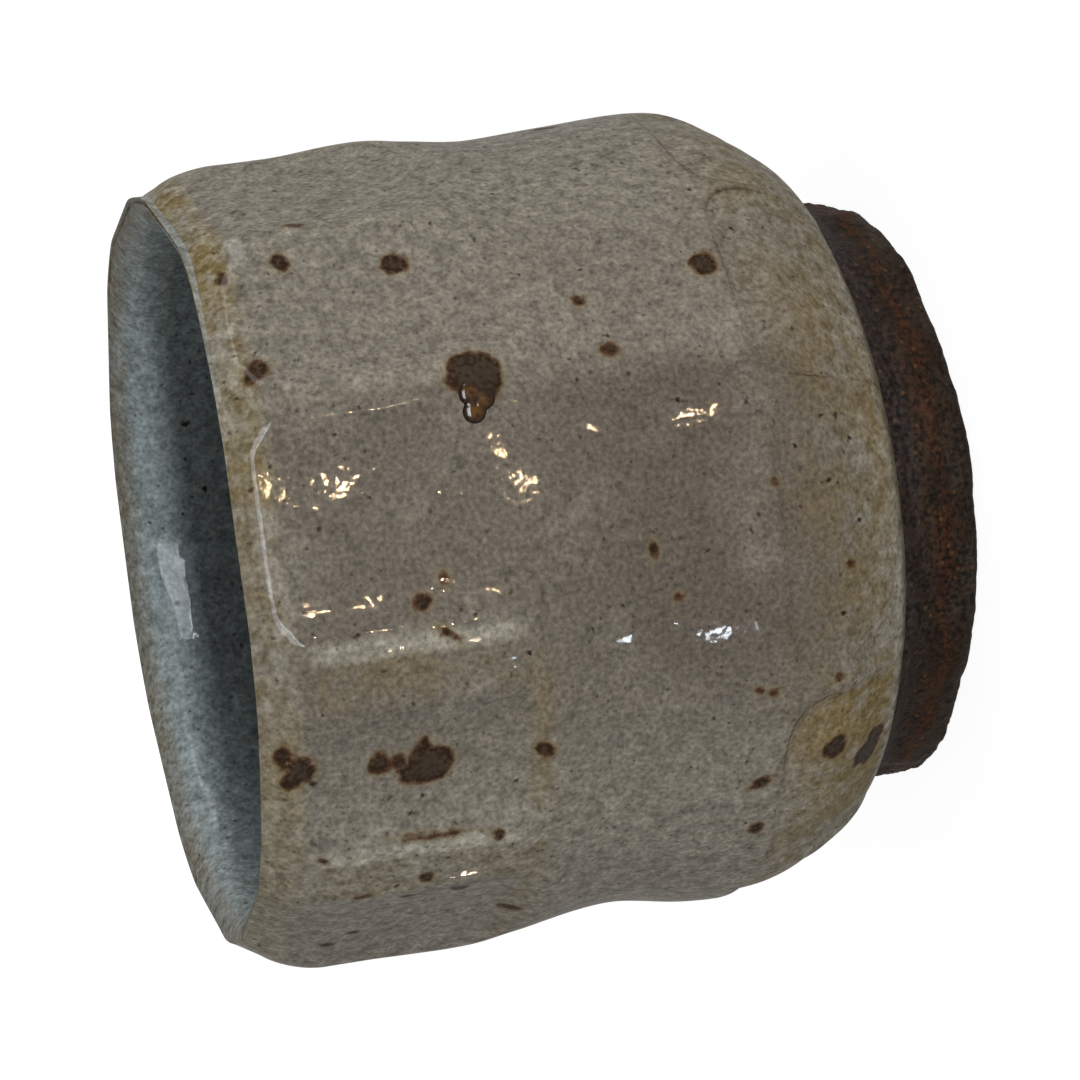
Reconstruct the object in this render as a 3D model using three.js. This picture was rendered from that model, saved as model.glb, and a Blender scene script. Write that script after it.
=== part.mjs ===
// Faceted stoneware tea cup: a thrown body with hand-cut facets, a foot ring and two glaze coats.
// Sizes in millimetres. The cup stands on z = 0 with its axis on Z. Angles are in degrees around Z,
// counted from the -Y side towards +X.
import * as THREE from 'three';

// Driving dimensions
const HEIGHT = 70.4;
const BODY_RADIUS = 39.4;
const WALL = 5.2;
const GLAZE = 0.7;
const BEAD = 1.1;
const FOOT_RADIUS = 29.2;
const FOOT_HEIGHT = 7.6;
const FOOT_WIDTH = 7;
const FLOOR = 5.6;
const LIP_DROP = 5;
const BAND_DROP = 24.5;
const SCOOP = 0.6;
const CREST_IN = 1.8;
const LIP_EDGE_DROP = 2;
const MOUTH_OVAL = 1.3;
const FOOT_OVAL = 1.2;

// Ribs left standing between the facets: angle, width, and for the facet after each rib how much lower it ends
// and the length over which it fades out
const RIBS = [
  { angle: -166, width: 6, end: 0.5, fade: 5 },
  { angle: -127, width: 5, end: -0.4, fade: 5 },
  { angle: -87, width: 7, end: 0.3, fade: 5 },
  { angle: -47.5, width: 7, end: 0.6, fade: 4 },
  { angle: -16, width: 6.5, end: -0.6, fade: 20 },
  { angle: 20.5, width: 3, end: 0.8, fade: 14 },
  { angle: 47.5, width: 2.5, end: 0.2, fade: 8 },
  { angle: 82, width: 5, end: -0.3, fade: 5 },
  { angle: 119, width: 6, end: 0.4, fade: 6 },
  { angle: 157, width: 4.5, end: 0, fade: 7 },
];

// Scoops cut low on the body beside the foot, with the angles where one ends and the next starts
const LOW_CUT_EDGES = [-98, -66, -31, 14, 50, 86, 122, 158, 194, 230];
const LOW_CUT_DEPTH = 0.8;
const LOW_CUT_BASE = FOOT_HEIGHT + 4.5;
const LOW_CUT_TOP = FOOT_HEIGHT + 17.5;

// Share of a facet's depth that is lost over the round of the lip
const CREST_FOLLOW = 0.55;

const STEPS_PER_FACET = 4;

// Small helpers
const radians = THREE.MathUtils.degToRad;
const degrees = THREE.MathUtils.radToDeg;
const smoothstep = THREE.MathUtils.smoothstep;

function wrapDegrees(angle) {
  return THREE.MathUtils.euclideanModulo(angle + 180, 360) - 180;
}

// The facets, one from each rib to the next
const FACETS = RIBS.map((rib, index) => {
  const next = RIBS[(index + 1) % RIBS.length];
  const start = rib.angle + degrees(rib.width / 2 / BODY_RADIUS);
  const span = THREE.MathUtils.euclideanModulo(next.angle - rib.angle, 360);
  const stop = rib.angle + span - degrees(next.width / 2 / BODY_RADIUS);
  return { start, stop, middle: (start + stop) / 2, half: (stop - start) / 2, end: rib.end, fade: rib.fade };
});

const LOW_CUTS = LOW_CUT_EDGES.map((start, index) => {
  const next = LOW_CUT_EDGES[(index + 1) % LOW_CUT_EDGES.length];
  return { start, span: THREE.MathUtils.euclideanModulo(next - start, 360) };
});

// Columns of the loft: both edges of each rib and even steps over each facet
const COLUMNS = FACETS.flatMap((facet) => {
  const angles = [];
  for (let step = 0; step <= STEPS_PER_FACET; step += 1) {
    angles.push(facet.start + (facet.stop - facet.start) * (step / STEPS_PER_FACET));
  }
  return angles;
});

// Outside of the glaze as thrown, before the facets are cut, from the foot up to the crest of the lip
const LIP_BASE = HEIGHT - LIP_DROP;
const BAND_BASE = HEIGHT - BAND_DROP;
const GLAZE_LINE = FOOT_HEIGHT + 0.6;
const LIP_EDGE = HEIGHT - LIP_EDGE_DROP;
const LIP_RADIUS = BODY_RADIUS - 0.8;
const CREST_RADIUS = BODY_RADIUS - CREST_IN;
const OUTSIDE = new THREE.SplineCurve([
  new THREE.Vector2(FOOT_RADIUS + 2.1, GLAZE_LINE + 0.2),
  new THREE.Vector2(BODY_RADIUS - 5.2, GLAZE_LINE + 1),
  new THREE.Vector2(BODY_RADIUS - 2.9, GLAZE_LINE + 4.6),
  new THREE.Vector2(BODY_RADIUS - 1, GLAZE_LINE + 9),
  new THREE.Vector2(BODY_RADIUS - 0.35, GLAZE_LINE + 13.5),
  new THREE.Vector2(BODY_RADIUS - 0.7, BAND_BASE - 16),
  new THREE.Vector2(BODY_RADIUS - 1.15, BAND_BASE - 8),
  new THREE.Vector2(BODY_RADIUS - 0.55, BAND_BASE - 2),
  new THREE.Vector2(BODY_RADIUS, BAND_BASE + 3),
  new THREE.Vector2(BODY_RADIUS - 0.2, LIP_BASE - 8),
  new THREE.Vector2(BODY_RADIUS - 0.5, LIP_BASE),
  new THREE.Vector2(LIP_RADIUS, LIP_EDGE),
  new THREE.Vector2(CREST_RADIUS, HEIGHT),
]);

// Inside of the liner glaze from the crest of the lip down to the middle of the floor
const INNER_RADIUS = BODY_RADIUS - WALL - 2 * GLAZE;
const FLOOR_TOP = FOOT_HEIGHT + FLOOR + GLAZE;
const FLOOR_CORNER = 11;
const INSIDE = new THREE.SplineCurve([
  new THREE.Vector2(CREST_RADIUS, HEIGHT),
  new THREE.Vector2(CREST_RADIUS - 1.9, HEIGHT - 0.9),
  new THREE.Vector2(INNER_RADIUS + 0.9, HEIGHT - 3.2),
  new THREE.Vector2(INNER_RADIUS + 0.2, HEIGHT - 7),
  new THREE.Vector2(INNER_RADIUS, HEIGHT - 16),
  new THREE.Vector2(INNER_RADIUS - 0.2, HEIGHT - 28),
  new THREE.Vector2(INNER_RADIUS - 1, FLOOR_TOP + FLOOR_CORNER),
  new THREE.Vector2(INNER_RADIUS - 4.2, FLOOR_TOP + FLOOR_CORNER * 0.35),
  new THREE.Vector2(INNER_RADIUS - FLOOR_CORNER, FLOOR_TOP + 0.7),
  new THREE.Vector2(INNER_RADIUS * 0.3, FLOOR_TOP),
]);
const OUTSIDE_ROWS = 22;
const INSIDE_ROWS = 10;

// A row of the loft: the glaze surface and the clay surface behind it, in the plane of the profile
function rowsAlong(curve, count, depthAt) {
  const rows = [];
  for (let row = 0; row <= count; row += 1) {
    const at = row / count;
    const point = curve.getPoint(at);
    const tangent = curve.getTangent(at);
    const depth = depthAt(at);
    const clay = new THREE.Vector2(point.x - tangent.y * depth, point.y + tangent.x * depth);
    rows.push({ glaze: point, clay });
  }
  return rows;
}

// How far the facet at this angle lies inside a thrown form of this radius; nothing on a rib
function facetDepth(angle, radius) {
  const facet = FACETS.find((one) => Math.abs(wrapDegrees(angle - one.middle)) <= one.half + 1e-6);
  if (!facet) {
    return 0;
  }
  const off = wrapDegrees(angle - facet.middle);
  const flat = BODY_RADIUS * Math.cos(radians(facet.half)) / Math.cos(radians(off));
  const hollow = SCOOP * (1 - (off / facet.half) ** 2);
  return Math.max(0, radius - flat + hollow);
}

// Facets run out softly at their lower ends, and the lip rounds over them
function facetCut(angle, height, radius) {
  const facet = FACETS.find((one) => Math.abs(wrapDegrees(angle - one.middle)) <= one.half + 1e-6);
  if (!facet) {
    return 0;
  }
  const low = BAND_BASE - facet.end;
  const fade = smoothstep(height, low - 0.6 * facet.fade, low + 0.4 * facet.fade);
  const over = 1 - CREST_FOLLOW * smoothstep(height, LIP_EDGE, HEIGHT);
  return facetDepth(angle, height > LIP_EDGE ? LIP_RADIUS : radius) * fade * over;
}

// The mouth inside follows the facets at the crest and is round a little lower
function mouthCut(angle, height) {
  return facetCut(angle, HEIGHT, LIP_RADIUS) * (1 - smoothstep(HEIGHT - height, 0, LIP_DROP));
}

// How far the round-topped scoops beside the foot go in at this angle and height
function lowCut(angle, height) {
  const scoop = LOW_CUTS.find((one) => THREE.MathUtils.euclideanModulo(angle - one.start, 360) < one.span);
  const across = 2 * THREE.MathUtils.euclideanModulo(angle - scoop.start, 360) / scoop.span - 1;
  const up = Math.max(0, (height - LOW_CUT_BASE) / (LOW_CUT_TOP - LOW_CUT_BASE));
  const edge = Math.abs(across) ** 3 + up ** 3;
  const rise = smoothstep(height, GLAZE_LINE, LOW_CUT_BASE);
  return LOW_CUT_DEPTH * (1 - smoothstep(edge, 0.5, 1)) * rise;
}

// The mouth and the foot are a little narrower from side to side than from front to back
function mouthDrawIn(angle) {
  const side = Math.sin(radians(angle));
  return MOUTH_OVAL * side * side * (1 - 0.3 * side);
}

function drawIn(angle, height) {
  const side = Math.sin(radians(angle));
  const foot = FOOT_OVAL * side * side * (1 - smoothstep(height, GLAZE_LINE, GLAZE_LINE + 5));
  return foot + mouthDrawIn(angle) * smoothstep(height, HEIGHT - 8, HEIGHT);
}

function pointAt(angle, radius, height) {
  const turn = radians(angle);
  return new THREE.Vector3(radius * Math.sin(turn), -radius * Math.cos(turn), height);
}

// A ring of points at one profile point, drawn in by the cuts of the outside
function outsideRing(point, surface) {
  return COLUMNS.map((angle) => {
    const cut = facetCut(angle, surface.y, surface.x) + lowCut(angle, surface.y);
    return pointAt(angle, point.x - cut - drawIn(angle, surface.y), point.y);
  });
}

function insideRing(point, surface) {
  const fade = 1 - smoothstep(HEIGHT - surface.y, 0, 9);
  return COLUMNS.map((angle) => {
    const cut = mouthCut(angle, surface.y) + mouthDrawIn(angle) * fade;
    return pointAt(angle, point.x - cut, point.y);
  });
}

// A closed body through rings of points. Each quad is split from the ring of lower rank, so two bodies
// that share rings share their faces too. A ring of one point closes an end.
function loft(rings, closed) {
  const positions = [];
  const index = [];
  const starts = rings.map((ring) => {
    const start = positions.length / 3;
    ring.points.forEach((point) => positions.push(point.x, point.y, point.z));
    return start;
  });
  const spans = closed ? rings.length : rings.length - 1;
  for (let span = 0; span < spans; span += 1) {
    const next = (span + 1) % rings.length;
    const here = rings[span];
    const there = rings[next];
    const count = Math.max(here.points.length, there.points.length);
    for (let column = 0; column < count; column += 1) {
      const right = (column + 1) % count;
      const a = starts[span] + (here.points.length > 1 ? column : 0);
      const b = starts[span] + (here.points.length > 1 ? right : 0);
      const c = starts[next] + (there.points.length > 1 ? right : 0);
      const d = starts[next] + (there.points.length > 1 ? column : 0);
      if (here.points.length === 1) {
        index.push(a, c, d);
      } else if (there.points.length === 1) {
        index.push(a, b, d);
      } else if (here.rank < there.rank) {
        index.push(a, b, c, a, c, d);
      } else {
        index.push(a, b, d, b, c, d);
      }
    }
  }
  const geometry = new THREE.BufferGeometry();
  geometry.setAttribute('position', new THREE.Float32BufferAttribute(positions, 3));
  geometry.setIndex(index);
  geometry.computeVertexNormals();
  return geometry;
}

const ranked = (points, rank) => ({ points, rank });
const pole = (height, rank) => ranked([new THREE.Vector3(0, 0, height)], rank);

// Rows of both sides; the glaze thickens to a bead at the foot and thins over the crest of the lip
const beadDepth = (at) => GLAZE + (BEAD - GLAZE) * (1 - smoothstep(at, 0, 0.1));
const outsideRows = rowsAlong(OUTSIDE, OUTSIDE_ROWS, beadDepth);
const insideRows = rowsAlong(INSIDE, INSIDE_ROWS, () => GLAZE);
const crestClay = new THREE.Vector2(CREST_RADIUS, HEIGHT - GLAZE);
outsideRows[OUTSIDE_ROWS].clay.copy(crestClay);
insideRows[0].clay.copy(crestClay);
outsideRows[0].clay.set(FOOT_RADIUS + 1.2, GLAZE_LINE);

const outsideGlaze = outsideRows.map((row, rank) => ranked(outsideRing(row.glaze, row.glaze), rank));
const outsideClay = outsideRows.map((row, rank) => ranked(outsideRing(row.clay, row.glaze), rank));
const insideGlaze = insideRows.map((row, rank) => ranked(insideRing(row.glaze, row.glaze), OUTSIDE_ROWS + rank));
const insideClay = insideRows.map((row, rank) => ranked(insideRing(row.clay, row.glaze), OUTSIDE_ROWS + rank));
const LAST_RANK = OUTSIDE_ROWS + INSIDE_ROWS + 1;

// Clay body: flat seat for the foot, outside, lip, inside and floor
const seatEdge = COLUMNS.map((angle) => (
  pointAt(angle, FOOT_RADIUS + 0.9 - drawIn(angle, FOOT_HEIGHT), FOOT_HEIGHT)
));
const clayBody = loft([
  pole(FOOT_HEIGHT, -2),
  ranked(seatEdge, -1),
  ...outsideClay,
  ...insideClay.slice(1),
  pole(FLOOR_TOP - GLAZE, LAST_RANK),
], false);

// Outer glaze: from the bead over the foot up to the crest, and back along the clay
const outerGlaze = loft([...outsideGlaze, ...[...outsideClay].reverse()], true);

// Liner glaze: from the crest down to the floor, closed along the clay
const linerGlaze = loft([
  pole(FLOOR_TOP - GLAZE, LAST_RANK),
  ...[...insideClay].reverse(),
  ...insideGlaze,
  pole(FLOOR_TOP, LAST_RANK),
], false);

// Foot ring, cut by hand: its outline wanders a little, its underside is flat
function footOutline(angle) {
  const turn = radians(angle);
  return 0.35 * Math.sin(3 * turn + 0.6) + 0.25 * Math.sin(5 * turn + 2.1);
}

function footRing({ radius, height, wander, oval }) {
  return COLUMNS.map((angle) => (
    pointAt(angle, radius + wander * footOutline(angle) - oval * drawIn(angle, 0), height)
  ));
}

const FOOT_INNER = FOOT_RADIUS - FOOT_WIDTH;
const footProfile = [
  { radius: FOOT_INNER + 0.8, height: 0, wander: 0, oval: 0 },
  { radius: FOOT_RADIUS - 1.2, height: 0, wander: 1, oval: 1 },
  { radius: FOOT_RADIUS, height: 1.1, wander: 1, oval: 1 },
  { radius: FOOT_RADIUS + 0.5, height: FOOT_HEIGHT * 0.45, wander: 0.8, oval: 1 },
  { radius: FOOT_RADIUS + 0.6, height: FOOT_HEIGHT * 0.75, wander: 0.4, oval: 1 },
  { radius: FOOT_RADIUS + 0.9, height: FOOT_HEIGHT, wander: 0, oval: 1 },
  { radius: FOOT_INNER - 1, height: FOOT_HEIGHT, wander: 0, oval: 0 },
  { radius: FOOT_INNER - 0.2, height: FOOT_HEIGHT * 0.7, wander: 0, oval: 0 },
  { radius: FOOT_INNER, height: 0.8, wander: 0, oval: 0 },
];
const foot = loft(footProfile.map((one, rank) => (
  ranked(footRing(one), rank)
)), true);

// Materials and the assembly
function piece(name, geometry, color, roughness) {
  const material = new THREE.MeshStandardMaterial({ color, roughness, metalness: 0 });
  material.name = name;
  const mesh = new THREE.Mesh(geometry, material);
  mesh.name = name;
  return mesh;
}

const cup = new THREE.Group();
cup.name = 'faceted_tea_cup';
cup.add(piece('clay_body', clayBody, 0x5a4638, 0.9));
cup.add(piece('foot_ring', foot, 0x4a3730, 0.9));
cup.add(piece('outer_glaze', outerGlaze, 0x9c958e, 0.2));
cup.add(piece('liner_glaze', linerGlaze, 0x8f979c, 0.2));

export default cup;
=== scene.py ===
"""Faceted stoneware tea cup: glazed wall, liner, clay and bare foot on a white studio floor."""
import math
from functools import partial

import bmesh
import bpy
import numpy as np
from mathutils import Matrix, Vector, noise


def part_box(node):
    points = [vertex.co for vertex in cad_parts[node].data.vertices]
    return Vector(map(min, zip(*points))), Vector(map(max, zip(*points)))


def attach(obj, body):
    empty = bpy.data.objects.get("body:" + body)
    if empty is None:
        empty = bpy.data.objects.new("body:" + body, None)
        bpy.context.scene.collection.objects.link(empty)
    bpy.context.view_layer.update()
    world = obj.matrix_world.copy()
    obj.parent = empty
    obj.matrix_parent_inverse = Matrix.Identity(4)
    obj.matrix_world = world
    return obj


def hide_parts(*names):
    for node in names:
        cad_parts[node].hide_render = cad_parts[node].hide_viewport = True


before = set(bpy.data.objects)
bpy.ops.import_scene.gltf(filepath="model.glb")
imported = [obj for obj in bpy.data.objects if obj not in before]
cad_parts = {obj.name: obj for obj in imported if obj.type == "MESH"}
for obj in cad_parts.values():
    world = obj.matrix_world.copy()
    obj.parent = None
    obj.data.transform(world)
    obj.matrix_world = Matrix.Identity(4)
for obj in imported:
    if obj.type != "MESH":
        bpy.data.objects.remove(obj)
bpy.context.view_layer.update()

bl_info = {
    "name": "Faceted Tea Cup",
    "version": (1, 0, 0),
    "blender": (4, 5, 0),
    "location": "View3D > Sidebar > Tea Cup",
    "description": "Builds a hand-cut stoneware tea cup with ash glaze and a bare foot",
    "category": "Object",
}

MM = 0.001

# Sizes taken from the solids
GLAZE_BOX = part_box("outer_glaze")
FOOT_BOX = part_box("foot_ring")
HEIGHT = GLAZE_BOX[1][2]
FOOT_HEIGHT = FOOT_BOX[1][2]

# Sizes of the thrown form
BODY_RADIUS = 39.4 * MM
WALL = 5.2 * MM
GLAZE = 0.7 * MM
FOOT_RADIUS = 29.2 * MM
FOOT_WIDTH = 7 * MM
FLOOR = 5.6 * MM
LIP_DROP = 5 * MM
BAND_DROP = 24.5 * MM
LIP_EDGE = HEIGHT - 2.2 * MM
LIP_RADIUS = BODY_RADIUS - 1.1 * MM
CREST_RADIUS = BODY_RADIUS - 2.1 * MM
BAND_BASE = HEIGHT - BAND_DROP
GLAZE_LINE = FOOT_HEIGHT + 0.6 * MM
FLOOR_TOP = FOOT_HEIGHT + FLOOR + GLAZE
INNER_RADIUS = BODY_RADIUS - WALL - 2 * GLAZE
FLOOR_CORNER = 11 * MM
LOW_CUT_BASE = FOOT_HEIGHT + 4.5 * MM
LOW_CUT_TOP = FOOT_HEIGHT + 17.5 * MM
MOUTH_OVAL = 1.3 * MM
FOOT_OVAL = 0.7 * MM
LIP_SAG = 0.9 * MM
SIDE_LEAN = 0.6 * MM
SIDE_DENT = 0.8 * MM
FOOT_LEAN = 0.7 * MM
SAG_TURN = math.radians(50)
SAG_SPREAD = math.radians(28)
DENT_TURN = math.radians(-85)
DENT_SPREAD = math.radians(25)
DENT_LEVEL = 33 * MM
DENT_HEIGHT = 5 * MM
FACET_HOLLOW = 0.65 * MM
EDGE_ROUND = 0.7 * MM
WANDER = 0.35 * MM

# Ribs left between the facets: angle from the front in degrees, width in mm, and for the facet after
# each rib how much lower it ends and the length over which it fades out, in mm
RIBS = (
    (-166, 6, 0.5, 5),
    (-127, 5, -0.4, 5),
    (-87, 7, 0.3, 5),
    (-47.5, 7, 0.6, 4),
    (-16, 6.5, -0.6, 20),
    (20.5, 3, 0.8, 14),
    (47.5, 2.5, 0.2, 8),
    (82, 5, -0.3, 5),
    (119, 6, 0.4, 6),
    (157, 4.5, 0, 7),
)

# Angles where one low scoop ends and the next starts
LOW_CUT_EDGES = (-98, -66, -28.5, 14, 48, 81, 118, 156, 194, 230)

# Iron spots: angle in degrees, height in mm, half length and half width in mm, tilt in degrees
IRON_SPOTS = (
    (20.6, 47.7, 2.6, 2.3, 0),
    (18, 46.9, 0.8, 0.8, 0),
    (40.5, 51.6, 1.3, 1.2, 0),
    (33, 24.4, 1.3, 1.25, 0),
    (30.3, 36.4, 0.6, 0.5, 0),
    (22.1, 34.9, 0.7, 0.6, 0),
    (50.2, 59.3, 0.9, 0.6, 0),
    (43.3, 61.6, 0.85, 0.9, 0),
    (42.1, 67, 0.75, 0.8, 0),
    (25.7, 66.3, 1.5, 0.8, -46),
    (-7.7, 55.3, 0.85, 0.8, 0),
    (-5.2, 53.2, 0.6, 0.4, 90),
    (-28.7, 67.1, 1.35, 1.45, 0),
    (-30.3, 67.8, 1.0, 1.0, 0),
    (-26.6, 68.6, 0.75, 0.9, 0),
    (-30.7, 55.6, 2.2, 2.1, 0),
    (-27.4, 55.9, 0.6, 0.7, 0),
    (-29.7, 58.2, 0.8, 0.9, 0),
    (-32, 57.4, 1.0, 0.9, 0),
    (-29.5, 60.1, 1.05, 1.15, 0),
    (-31.1, 45.2, 0.8, 0.75, 0),
    (-43.2, 49.3, 0.45, 0.5, 0),
    (-50, 55.8, 0.55, 0.7, 0),
    (-56.2, 52, 0.9, 0.75, 0),
    (-55.7, 56.9, 1.0, 0.5, 0),
    (-52.1, 61.5, 0.9, 0.35, 0),
    (-67.8, 46, 1.0, 0.7, 0),
    (-69.5, 60.9, 0.6, 0.45, 0),
    (-73.4, 62.9, 0.65, 0.5, 0),
    (-43.7, 65.3, 0.5, 0.4, 0),
    (-41.9, 55.2, 2.0, 0.28, 4),
    (-12.1, 53.6, 0.8, 0.28, 40),
    (-39.3, 17.2, 1.3, 1.4, 0),
    (-45, 12.9, 1.6, 1.7, 0),
    (-42.4, 12.0, 1.2, 1.2, 0),
    (-42.2, 24.6, 1.4, 0.65, -32),
    (-51.8, 24.2, 0.8, 0.8, 0),
    (-26.6, 25.3, 0.4, 0.4, 0),
    (-27.3, 24, 0.45, 0.45, 0),
    (-27.1, 17.6, 0.4, 0.45, 0),
    (1.1, 22.6, 0.45, 0.4, 0),
    (-11.4, 15.9, 0.4, 0.36, 0),
    (-5.4, 34.3, 0.6, 0.32, 90),
    (-11.9, 32.5, 0.45, 0.4, 0),
    (78, 30.5, 1.2, 1.0, 0),
    (104, 58, 1.8, 1.5, 20),
    (131, 38, 0.9, 0.8, 0),
    (152, 62, 1.3, 1.0, 0),
    (178, 27, 1.6, 1.3, 50),
    (-102, 33, 1.0, 0.9, 0),
    (-118, 56, 2.0, 1.6, 0),
    (-140, 19, 1.2, 1.0, 0),
    (-155, 45, 1.0, 0.7, 30),
    (-172, 58, 0.8, 0.8, 0),
)

# Lobes of the amber run under the largest spot: angle in degrees, height and radius in mm
DRIP_LOBES = (
    (17.8, 48.5, 1.05),
    (15.4, 48.3, 1.1),
    (17.0, 47.2, 1.0),
)
DRIP_FLATNESS = 0.35
DRIP_VOXEL = 0.12 * MM

# Waves in the side of the foot: number around, height in mm and start; then the size of its grain, and
# the gain, spacing and number of the layers of noise in it
FOOT_WAVES = ((3, 0.35, 0.6), (5, 0.25, 2.1), (9, 0.2, 0.4), (17, 0.14, 1.0))
FOOT_GRAIN = 4 * MM
FOOT_NOISE = (0.7, 2.2, 5)

# Steps along each span of a curve, columns around the meshes and rings along them
CURVE_STEPS = 60
COLUMNS = 420
CLAY_COLUMNS = 210
FOOT_COLUMNS = 360
OUTSIDE_ROWS = 190
OUTSIDE_BACK_ROWS = 22
LINER_ROWS = 120
LINER_BACK_ROWS = 24
CLAY_OUTSIDE_ROWS = 80
CLAY_INSIDE_ROWS = 50
FOOT_SIDE_ROWS = 44
FOOT_BORE_ROWS = 20
FOOT_BASE_ROWS = 10

# Clay lies a little behind the back of the glaze
CLAY_GAP = 1.05

# What the node tree that cuts the facets reads, and what the glaze material reads
CUT_LAYERS = ("angle", "thrown_radius", "thrown_height", "share", "facet_middle", "facet_half", "facet_end",
              "facet_fade", "low_middle", "low_half")
GLAZE_LAYERS = ("spot", "thin", "pool_and_highlight", "seam", "deep", "mauve", "liner")

# Distance in mm that stands for no iron spot near
NO_SPOT = 9.0

# A colour mix takes its share and two colours on sockets 0, 6 and 7 and gives the result on output 2
COLOUR_MIX = {"out": 2, "data_type": "RGBA"}

ASH_GLAZE = "Ash glaze on stoneware"
BARE_CLAY = "Bare fired stoneware"
AMBER_RUN = "Amber run of glaze"

# Lamps: place, width, height and power in metres and watts, and tint. A fill leaves no reflection,
# and a gloss is seen in reflections only.
LAMPS = (
    ("side_window", (0.785, -0.07, 0.16), 0.6, 0.15, 3.0, "#ffffff"),
    ("left_fill", (-0.6, -0.45, 0.12), 0.6, 0.15, 0.85, "#ffffff"),
    ("back_fill", (-0.25, 0.8, 0.2), 0.6, 0.3, 2.0, "#ffffff"),
    ("front_strip", (0.05, -0.475, 0.104), 0.3, 0.024, 1.4, "#f0f6ff"),
    ("lip_gloss", (0.05, -0.475, 0.18), 0.3, 0.13, 3.7, "#f0f6ff"),
    ("warm_glint", (0.0431, -0.2503, 0.0217), 0.0028, 0.0028, 0.04, "#ffd9a8"),
    ("low_glint", (0.0475, -0.127, 0.01), 0.002, 0.002, 0.009, "#ffdcb0"),
    ("cool_glint", (-0.0734, -0.1185, 0.0085), 0.0035, 0.0035, 0.01, "#e8f4ff"),
    ("rib_glint", (-0.0758, -0.1688, 0.0272), 0.0025, 0.0025, 0.008, "#ffe6c4"),
    ("far_rib_glint", (-0.1717, 0.0155, 0.0248), 0.003, 0.003, 0.012, "#ffe6c4"),
)
LAMP_AIM = Vector((0, 0, 0.035))

# White background as the eye sees it, near the cup and far from it, and the light that the world sheds
FLOOR_REACH = 3.0
FLOOR_WHITE = (0.91, 0.97)
FLOOR_NEAR = (0.2, 0.6)
WORLD_LIGHT = 0.3
WORLD_WHITE = 1.0

# Camera at the photograph's place; the cup lies on its side in the frame
CAMERA_LIFT = math.radians(14.3)
CAMERA_ROLL = math.radians(-98.04)
CAMERA_AWAY = 0.3335
SENSOR_WIDTH = 36
FRAME_PIXELS = 1080
SHIFT_PIXELS = (8.5, -14.3)

TURN = 2 * math.pi


def linear(code):
    """sRGB hex to linear RGBA."""
    values = [int(code[i:i + 2], 16) / 255 for i in (1, 3, 5)]
    return [v / 12.92 if v <= 0.04045 else ((v + 0.055) / 1.055) ** 2.4 for v in values] + [1.0]


def add_node(tree, kind, inputs=(), out=0, **settings):
    """Adds a node, applies its settings, sets or links its inputs and returns one of its outputs.
    The kind of a shader node is given without its first word, ShaderNode. Inputs are a list in the order
    of the sockets, or a dictionary by name or number."""
    node = tree.nodes.new(kind if kind.startswith(("Geometry", "NodeGroup")) else "ShaderNode" + kind)
    for key, value in settings.items():
        setattr(node, key, value)
    for key, value in inputs.items() if isinstance(inputs, dict) else enumerate(inputs):
        if isinstance(value, bpy.types.NodeSocket):
            tree.links.new(value, node.inputs[key])
        else:
            node.inputs[key].default_value = value
    return node.outputs[out] if node.outputs else None


def smoothstep(value, low, high):
    step = np.clip((value - low) / (high - low), 0, 1)
    return step * step * (3 - 2 * step)


def spline(points, rows):
    """Points evenly spaced along a smooth curve through the given profile points."""
    points = np.array(points)
    padded = np.vstack([points[:1], points, points[-1:]])
    pieces = []
    for i in range(len(points) - 1):
        before, start, stop, after = padded[i:i + 4]
        t = np.linspace(0, 1, CURVE_STEPS, endpoint=i == len(points) - 2)[:, None]
        enter, leave = (stop - before) / 2, (after - start) / 2
        cube = (2 * start - 2 * stop + enter + leave) * t ** 3
        square = (3 * stop - 3 * start - 2 * enter - leave) * t ** 2
        pieces.append(cube + square + enter * t + start)
    dense = np.vstack(pieces)
    run = np.concatenate([[0], np.cumsum(np.linalg.norm(np.diff(dense, axis=0), axis=1))])
    at = np.linspace(0, run[-1], rows)
    return np.stack([np.interp(at, run, dense[:, k]) for k in (0, 1)], axis=1)


def inward(profile):
    """Unit normals of a profile, to the left of its direction."""
    along = np.gradient(profile, axis=0)
    along /= np.linalg.norm(along, axis=1)[:, None]
    return np.stack([-along[:, 1], along[:, 0]], axis=1)


def outside_profile(rows):
    """Glaze surface as thrown, from the bead over the foot to the crest of the lip."""
    r = BODY_RADIUS
    g = GLAZE_LINE
    return spline([
        (FOOT_RADIUS + 2.1 * MM, g + 0.2 * MM),
        (r - 5.2 * MM, g + 1.8 * MM),
        (r - 2.9 * MM, g + 5.2 * MM),
        (r - 1 * MM, g + 9 * MM),
        (r - 0.35 * MM, g + 13.5 * MM),
        (r - 0.7 * MM, BAND_BASE - 16 * MM),
        (r - 1.15 * MM, BAND_BASE - 8 * MM),
        (r - 0.55 * MM, BAND_BASE - 2 * MM),
        (r, BAND_BASE + 3 * MM),
        (r - 0.2 * MM, HEIGHT - LIP_DROP - 8 * MM),
        (r - 0.35 * MM, HEIGHT - LIP_DROP),
        (LIP_RADIUS, LIP_EDGE),
        (CREST_RADIUS, HEIGHT),
    ], rows)


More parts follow.
